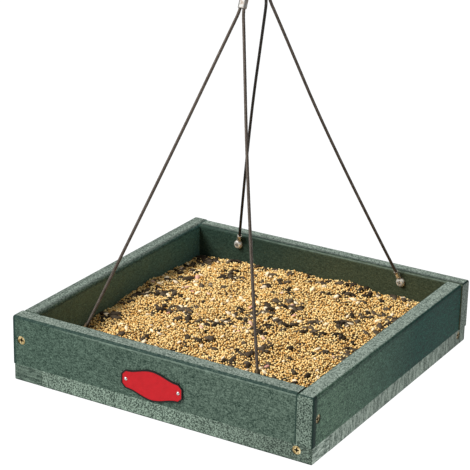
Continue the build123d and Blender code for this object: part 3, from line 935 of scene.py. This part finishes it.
class TRAY_OT_metal(bpy.types.Operator):
    """Finish the hook, ferrules, lugs, screws, rivets and floor sheet."""

    bl_idname = "tray.metal"
    bl_label = "Hook and fasteners"

    def execute(self, context):
        hues = colours()
        # Name, bright and dull colour, roughness and patch scale of each finish, how metallic it is and
        # what paints shade on it, by the pieces that have it
        metals = {
            ("board_corner_screws", "ledge_corner_screws"):
                ("brass", hues.brass, hues.brass_dull, 0.16, 260.0, 1.0, sunk_head_shade),
            ("ledge_fixing_screws",): ("plain_brass", hues.brass, hues.brass_dull, 0.16, 260.0),
            ("back_left_lug", "back_right_lug"):
                ("tinned_brass", hues.tinned, hues.tinned_dull, 0.10, 420.0, 0.8),
            ("front_left_lug", "front_right_lug"):
                ("tarnished_brass", hues.tinned_dull, hues.cable, 0.30, 420.0),
            ("lug_screws",): ("tinned_heads", hues.tinned, hues.rivet, 0.20, 380.0, 0.70, pan_cross_shade),
            ("hanging_hook",): ("plated_wire", hues.wire, hues.wire_dull, 0.46, 180.0),
            ("front_ferrule", "back_ferrule"):
                ("sleeve_metal", hues.sleeve, hues.cable_worn, 0.34, 240.0),
            ("nameplate_rivets",): ("rivet_metal", hues.rivet, hues.sheet, 0.16, 300.0),
            ("floor_screen",): ("sheet_metal", hues.sheet, hues.wire_dull, 0.32, 60.0),
        }
        for nodes, values in metals.items():
            finish = metal_finish(*values)
            for node in nodes:
                repaint(node, finish)
        return {"FINISHED"}


class TRAY_OT_plate(bpy.types.Operator):
    """Finish the bare nameplate."""

    bl_idname = "tray.plate"
    bl_label = "Nameplate"

    def execute(self, context):
        repaint("nameplate", plate_finish())
        return {"FINISHED"}


# Seed

# Place of the heap's crown, and the length, heading in degrees and height of each of its waves
HEAP_CROWN = (0.025, 0.045)
HEAP_WAVES = ((0.063, 20.0, 0.0010), (0.047, -32.0, 0.0008), (0.041, 76.0, 0.0007))


def heap_height(x, y):
    """Height of the heap: a shallow dome, highest towards the back right, plus three low waves
    that cross each other."""
    size = sizes()
    crown_x, crown_y = HEAP_CROWN
    height = RIM - size.heap_top - ((x - crown_x) ** 2 + (y - crown_y) ** 2) / (2 * size.heap_dome)
    for wave, heading, rise in HEAP_WAVES:
        angle = math.radians(heading)
        along = x * math.cos(angle) + y * math.sin(angle)
        height = height + rise * np.sin(2 * np.pi * along / wave)
    return height


# How deep below the grains the deep seed lies, how far above its base it ends, and its points a side
DEEP_SEED = 0.0006
BASE_LIFT = 0.0001
HEAP_POINTS = 134
# Free room along the walls for millet, single sunflower seeds, groups of them, any of these, and kernels
MILLET_MARGIN = 0.0012
SINGLE_MARGIN = 0.006
GROUP_MARGIN = 0.010
SUNFLOWER_MARGIN = 0.0055
KERNEL_MARGIN = 0.004
# How far above or below the heap's surface the middles of millet, sunflower seeds and kernels lie
MILLET_LIFT = (-0.0010, 0.0012)
SUNFLOWER_LIFT = (-0.0004, 0.0012)
KERNEL_LIFT = (0.0004, 0.0016)
# Most lean of millet and kernels, and of sunflower seeds, in radians
GRAIN_TILT = 0.7
SUNFLOWER_TILT = 0.35
# Share of golden millet, and the strips that it is split into
GOLDEN_SHARE = 0.90
MILLET_STRIPS = 3
# Fewest sunflower seeds of a group and one more than its most, and how far they spread along and across
GROUP_MEMBERS = (4, 14)
GROUP_SPREAD = (0.0100, 0.0042)
# Sunflower seeds along the left and the back wall, how they crowd together, and how far off they lie
WALL_SEEDS = 30
WALL_CROWDING = 1.6
WALL_SPREAD = 0.0045
# How the tones of sunflower husks lean to the dark, and the share of kernels that are pale
DARK_LEANING = 1.4
PALE_SHARE = 0.86


def turned(random, count, tilt):
    """Random turns as matrices: any heading, and a lean of up to tilt radians."""
    heading = random.uniform(0.0, 2 * np.pi, count)
    lean = random.uniform(-tilt, tilt, count)
    roll = random.uniform(-tilt, tilt, count)
    cos_h, sin_h = np.cos(heading), np.sin(heading)
    cos_l, sin_l = np.cos(lean), np.sin(lean)
    cos_r, sin_r = np.cos(roll), np.sin(roll)
    zero, one = np.zeros(count), np.ones(count)
    about_z = np.array([[cos_h, -sin_h, zero], [sin_h, cos_h, zero], [zero, zero, one]])
    about_y = np.array([[cos_l, zero, sin_l], [zero, one, zero], [-sin_l, zero, cos_l]])
    about_x = np.array([[one, zero, zero], [zero, cos_r, -sin_r], [zero, sin_r, cos_r]])
    return np.einsum("ijn,jkn,kln->nil", about_z, about_y, about_x)


def scatter(name, finish, shape, faces, centres, scales, turns, tones):
    """One piece of seed from many copies of a small shape, each scaled, turned and set in its place."""
    scaled = shape[None] * scales[:, None, :]
    copies = np.einsum("nij,nvj->nvi", turns, scaled) + centres[:, None, :]
    step = len(shape)
    index = faces[None] + (np.arange(len(centres)) * step)[:, None, None]
    piece = build_mesh(name, copies.reshape(-1, 3), [index.reshape(-1, faces.shape[1])])
    store(piece, "tone", np.repeat(tones, step))
    dress(piece, finish, "tray")


def round_grain():
    """A twenty-sided ball of radius one half, from three golden rectangles."""
    golden = (1 + 5**0.5) / 2
    corners = np.array(
        [(-1, golden, 0), (1, golden, 0), (-1, -golden, 0), (1, -golden, 0),
         (0, -1, golden), (0, 1, golden), (0, -1, -golden), (0, 1, -golden),
         (golden, 0, -1), (golden, 0, 1), (-golden, 0, -1), (-golden, 0, 1)], float)
    faces = np.array(
        [(0, 11, 5), (0, 5, 1), (0, 1, 7), (0, 7, 10), (0, 10, 11),
         (1, 5, 9), (5, 11, 4), (11, 10, 2), (10, 7, 6), (7, 1, 8),
         (3, 9, 4), (3, 4, 2), (3, 2, 6), (3, 6, 8), (3, 8, 9),
         (4, 9, 5), (2, 4, 11), (6, 2, 10), (8, 6, 7), (9, 8, 1)])
    return 0.5 * corners / np.linalg.norm(corners, axis=1)[:, None], faces


def pointed_seed():
    """A husk one long and one wide: rings of six points that swell and then narrow along it, between
    a blunt back and a pointed front."""
    around = 6
    along = np.array([0.10, 0.32, 0.60, 0.85])
    reach = np.array([0.30, 0.50, 0.40, 0.17])
    angle = np.linspace(0.0, 2 * np.pi, around, endpoint=False)
    ring = np.stack([np.zeros(around), np.cos(angle), np.sin(angle)], -1)
    middles = np.stack([along - 0.5, 0 * along, 0 * along], -1)
    body = reach[:, None, None] * ring[None] + middles[:, None]
    shape = np.concatenate([body.reshape(-1, 3), [(-0.5, 0.0, 0.0), (0.5, 0.0, 0.0)]])
    quads = grid_faces(len(along), around, True)
    faces = [quads[:, [0, 1, 2]], quads[:, [0, 2, 3]], *end_fans(len(along), around)]
    return shape, np.concatenate(faces)


def seed_scales(random, count, length, lengths, widths, heights):
    """Random sizes of seeds: lengths are shares of the usual length, and a seed's width and height are
    shares of its own length."""
    long_side = length * random.uniform(*lengths, count)
    return long_side[:, None] * np.column_stack(
        [np.ones(count), random.uniform(*widths, count), random.uniform(*heights, count)])


def inside_tray(random, count, margin):
    """Random places inside the walls."""
    half = HEAP_SIDE - margin
    return random.uniform(-half, half, count), random.uniform(-half, half, count)


class TRAY_OT_seed(bpy.types.Operator):
    """Fill the tray with a heap of millet, sunflower seeds and pale kernels."""

    bl_idname = "tray.seed"
    bl_label = "Seed"

    def execute(self, context):
        self.make_heap()
        random = np.random.default_rng(24)
        self.make_millet(random)
        self.make_sunflower(random)
        self.make_kernels(random)
        return {"FINISHED"}

    def make_heap(self):
        """The deep seed: a closed block whose top follows the heap a little below its grains."""
        count = HEAP_POINTS
        edge = np.linspace(-HEAP_SIDE, HEAP_SIDE, count)
        x, y = np.meshgrid(edge, edge, indexing="ij")
        top = np.stack([x, y, heap_height(x, y) - DEEP_SEED], -1).reshape(-1, 3)
        low = top.copy()
        low[:, 2] = HEAP_BASE + BASE_LIFT
        layer = count * count
        upper = grid_faces(count, count, False)
        # The edge points of the grid, once round
        ring = np.concatenate([
            np.arange(count), np.arange(1, count) * count + count - 1,
            (count - 1) * count + np.arange(count - 2, -1, -1),
            np.arange(count - 2, 0, -1) * count])
        beside = np.roll(ring, -1)
        wall = np.column_stack([ring, beside, beside + layer, ring + layer])
        faces = [upper[:, ::-1], upper + layer, wall]
        piece = build_mesh("seed_heap", np.concatenate([top, low]), faces, smooth=False)
        dress(piece, heap_shade_finish(), "tray")
        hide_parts("seed_bed")

    def make_millet(self, random):
        """Millet on a jittered grid over the whole heap, split into strips by their place."""
        size, hues = sizes(), colours()
        shape, faces = round_grain()
        half = HEAP_SIDE - MILLET_MARGIN
        edge = np.arange(-half, half, size.grain_spacing)
        x, y = (axis.ravel() for axis in np.meshgrid(edge, edge, indexing="ij"))
        x = np.clip(x + random.uniform(-0.5, 0.5, len(x)) * size.grain_spacing, -half, half)
        y = np.clip(y + random.uniform(-0.5, 0.5, len(y)) * size.grain_spacing, -half, half)
        z = heap_height(x, y) + random.uniform(*MILLET_LIFT, len(x))
        scales = seed_scales(random, len(x), size.grain_length, lengths=(0.82, 1.08),
                             widths=(0.80, 0.96), heights=(0.72, 0.90))
        turns = turned(random, len(x), GRAIN_TILT)
        tones = random.uniform(0.0, 1.0, len(x))
        kinds = random.uniform(0.0, 1.0, len(x))
        gold = seed_finish("golden_millet", hues.millet_gold, hues.millet_tan,
                           roughness=0.42, mottle=900.0)
        red = seed_finish("red_millet", hues.millet_red, hues.millet_gold,
                          roughness=0.42, mottle=900.0)
        batches = [("red_millet", kinds > GOLDEN_SHARE, red)]
        for strip in range(MILLET_STRIPS):
            low, high = np.quantile(x, [strip / MILLET_STRIPS, (strip + 1) / MILLET_STRIPS])
            in_strip = (x >= low) & ((x < high) | (strip == MILLET_STRIPS - 1))
            batches.append((f"golden_millet_{strip + 1}", (kinds <= GOLDEN_SHARE) & in_strip, gold))
        places = np.column_stack([x, y, z])
        for name, mine, finish in batches:
            scatter(name, finish, shape, faces, places[mine], scales[mine], turns[mine], tones[mine])

    def make_sunflower(self, random):
        """Sunflower seeds alone, in loose groups and along two walls, nearly flat on the grains."""
        size, hues = sizes(), colours()
        shape, faces = pointed_seed()
        x, y = inside_tray(random, size.sunflower_singles, SINGLE_MARGIN)
        group_x, group_y = inside_tray(random, size.sunflower_groups, GROUP_MARGIN)
        for near_x, near_y in zip(group_x, group_y):
            members = int(random.integers(*GROUP_MEMBERS))
            heading = random.uniform(0.0, np.pi)
            far = random.normal(0.0, 1.0, (members, 2)) * GROUP_SPREAD
            x = np.append(x, near_x + far[:, 0] * np.cos(heading) - far[:, 1] * np.sin(heading))
            y = np.append(y, near_y + far[:, 0] * np.sin(heading) + far[:, 1] * np.cos(heading))
        half = HEAP_SIDE - SUNFLOWER_MARGIN
        wall = half - 2 * half * random.uniform(0.0, 1.0, (2, WALL_SEEDS)) ** WALL_CROWDING
        near = half - np.abs(random.normal(0.0, WALL_SPREAD, (2, WALL_SEEDS)))
        x = np.concatenate([x, -near[0], -wall[1]])
        y = np.concatenate([y, wall[0], near[1]])
        x, y = np.clip(x, -half, half), np.clip(y, -half, half)
        count = len(x)
        z = heap_height(x, y) + random.uniform(*SUNFLOWER_LIFT, count)
        scales = seed_scales(random, count, size.sunflower_length, lengths=(0.78, 1.10),
                             widths=(0.44, 0.56), heights=(0.32, 0.40))
        turns = turned(random, count, SUNFLOWER_TILT)
        tones = random.uniform(0.0, 1.0, count) ** DARK_LEANING
        places = np.column_stack([x, y, z])
        husk = seed_finish("sunflower_husk", hues.sunflower, hues.sunflower_grey,
                           roughness=0.50, mottle=700.0, gloss=0.04)
        scatter("sunflower_seeds", husk, shape, faces, places, scales, turns, tones)

    def make_kernels(self, random):
        """Pale and pink kernels, some long and some as broken bits."""
        size, hues = sizes(), colours()
        shape, faces = pointed_seed()
        count = size.pale_kernels
        x, y = inside_tray(random, count, KERNEL_MARGIN)
        z = heap_height(x, y) + random.uniform(*KERNEL_LIFT, count)
        scales = seed_scales(random, count, size.kernel_length, lengths=(0.55, 1.25),
                             widths=(0.45, 0.75), heights=(0.32, 0.50))
        turns = turned(random, count, GRAIN_TILT)
        tones = random.uniform(0.0, 1.0, count)
        pink = random.uniform(0.0, 1.0, count) > PALE_SHARE
        places = np.column_stack([x, y, z])
        pale = seed_finish("pale_kernel", hues.kernel, hues.kernel_white,
                           roughness=0.45, mottle=800.0)
        rosy = seed_finish("pink_kernel", hues.kernel_pink, hues.kernel,
                           roughness=0.45, mottle=800.0)
        for name, mine, finish in (("pale_kernels", ~pink, pale), ("pink_kernels", pink, rosy)):
            scatter(name, finish, shape, faces, places[mine], scales[mine], turns[mine], tones[mine])


# Stage


class TRAY_OT_stage(bpy.types.Operator):
    """Set up the pale floor, the soft light and the camera."""

    bl_idname = "tray.stage"
    bl_label = "Stage"

    def execute(self, context):
        scene = context.scene
        scene.view_settings.view_transform = "Standard"
        self.make_floor()
        self.make_light(scene)
        self.make_camera(scene)
        return {"FINISHED"}

    def make_floor(self):
        """A wide flat floor well below the hanging tray."""
        half, drop = 40.0, 1.6
        ends = ((-half, -half), (half, -half), (half, half), (-half, half))
        corners = np.array([(x, y, BASE - drop) for x, y in ends])
        floor = build_mesh("pale_floor", corners, [np.array([(0, 1, 2, 3)])], smooth=False)
        finish, tree, shader = new_finish("pale_floor")
        position, _ = coordinates(tree)
        pale = mixed(tree, noise(tree, position, scale=3.0), (0.71, 0.71, 0.71), (0.73, 0.73, 0.73))
        coat(tree, shader, pale, 0.9, gloss=0.0)
        floor.data.materials.append(finish)

    def make_light(self, scene):
        """An even sky and one broad soft lamp from the upper left in front."""
        world = bpy.data.worlds.new("soft_sky")
        world.use_nodes = True
        sky = world.node_tree.nodes["Background"]
        sky.inputs["Color"].default_value = (0.97, 0.99, 1.0, 1.0)
        sky.inputs["Strength"].default_value = 0.4
        scene.world = world
        lamp = bpy.data.lights.new("soft_lamp", "SUN")
        lamp.energy = 4.9
        lamp.angle = math.radians(28.0)
        holder = bpy.data.objects.new("soft_lamp", lamp)
        scene.collection.objects.link(holder)
        aim = Vector((0.48, 0.52, -0.70))
        holder.rotation_mode = "QUATERNION"
        holder.rotation_quaternion = aim.to_track_quat("-Z", "Y")

    def make_camera(self, scene):
        """A long lens in front on the right, a little above the tray, leaning a degree."""
        eye = Vector((0.75939, -1.32358, 0.24903))
        target = Vector((0.00465, -0.03303, -0.32045))
        lean = math.radians(1.262)
        lens = bpy.data.cameras.new("camera")
        lens.sensor_width = 36.0
        lens.lens = 141.395
        lens.clip_start, lens.clip_end = 0.01, 200.0
        camera = bpy.data.objects.new("camera", lens)
        scene.collection.objects.link(camera)
        camera.rotation_mode = "QUATERNION"
        camera.location = eye
        level = (target - eye).to_track_quat("-Z", "Y")
        camera.rotation_quaternion = level @ Quaternion((0.0, 0.0, 1.0), lean)
        scene.camera = camera


OPERATORS = (
    TRAY_OT_stage,
    TRAY_OT_cables,
    TRAY_OT_boards,
    TRAY_OT_ledge,
    TRAY_OT_metal,
    TRAY_OT_plate,
    TRAY_OT_seed,
)


class TRAY_PT_panel(bpy.types.Panel):
    """The sidebar list of the tray's pieces, sizes and colours."""

    bl_idname = "TRAY_PT_panel"
    bl_label = "Seed tray"
    bl_space_type = "VIEW_3D"
    bl_region_type = "UI"
    bl_category = "Seed tray"

    def draw(self, context):
        for operator in OPERATORS:
            self.layout.operator(operator.bl_idname)
        for group in (context.scene.tray_sizes, context.scene.tray_colours):
            box = self.layout.box()
            for name in group.__annotations__:
                box.prop(group, name)


CLASSES = (TraySizes, TrayColours, *OPERATORS, TRAY_PT_panel)


def register():
    """Make the classes and the scene's two groups of properties known."""
    for made in CLASSES:
        bpy.utils.register_class(made)
    bpy.types.Scene.tray_sizes = bpy.props.PointerProperty(type=TraySizes)
    bpy.types.Scene.tray_colours = bpy.props.PointerProperty(type=TrayColours)


def unregister():
    """Take back what register did, in the reverse order."""
    del bpy.types.Scene.tray_colours
    del bpy.types.Scene.tray_sizes
    for made in reversed(CLASSES):
        bpy.utils.unregister_class(made)


def main():
    register()
    bpy.ops.tray.stage()
    bpy.ops.tray.cables()
    bpy.ops.tray.boards()
    bpy.ops.tray.ledge()
    bpy.ops.tray.metal()
    bpy.ops.tray.plate()
    bpy.ops.tray.seed()


if __name__ == "__main__":
    main()
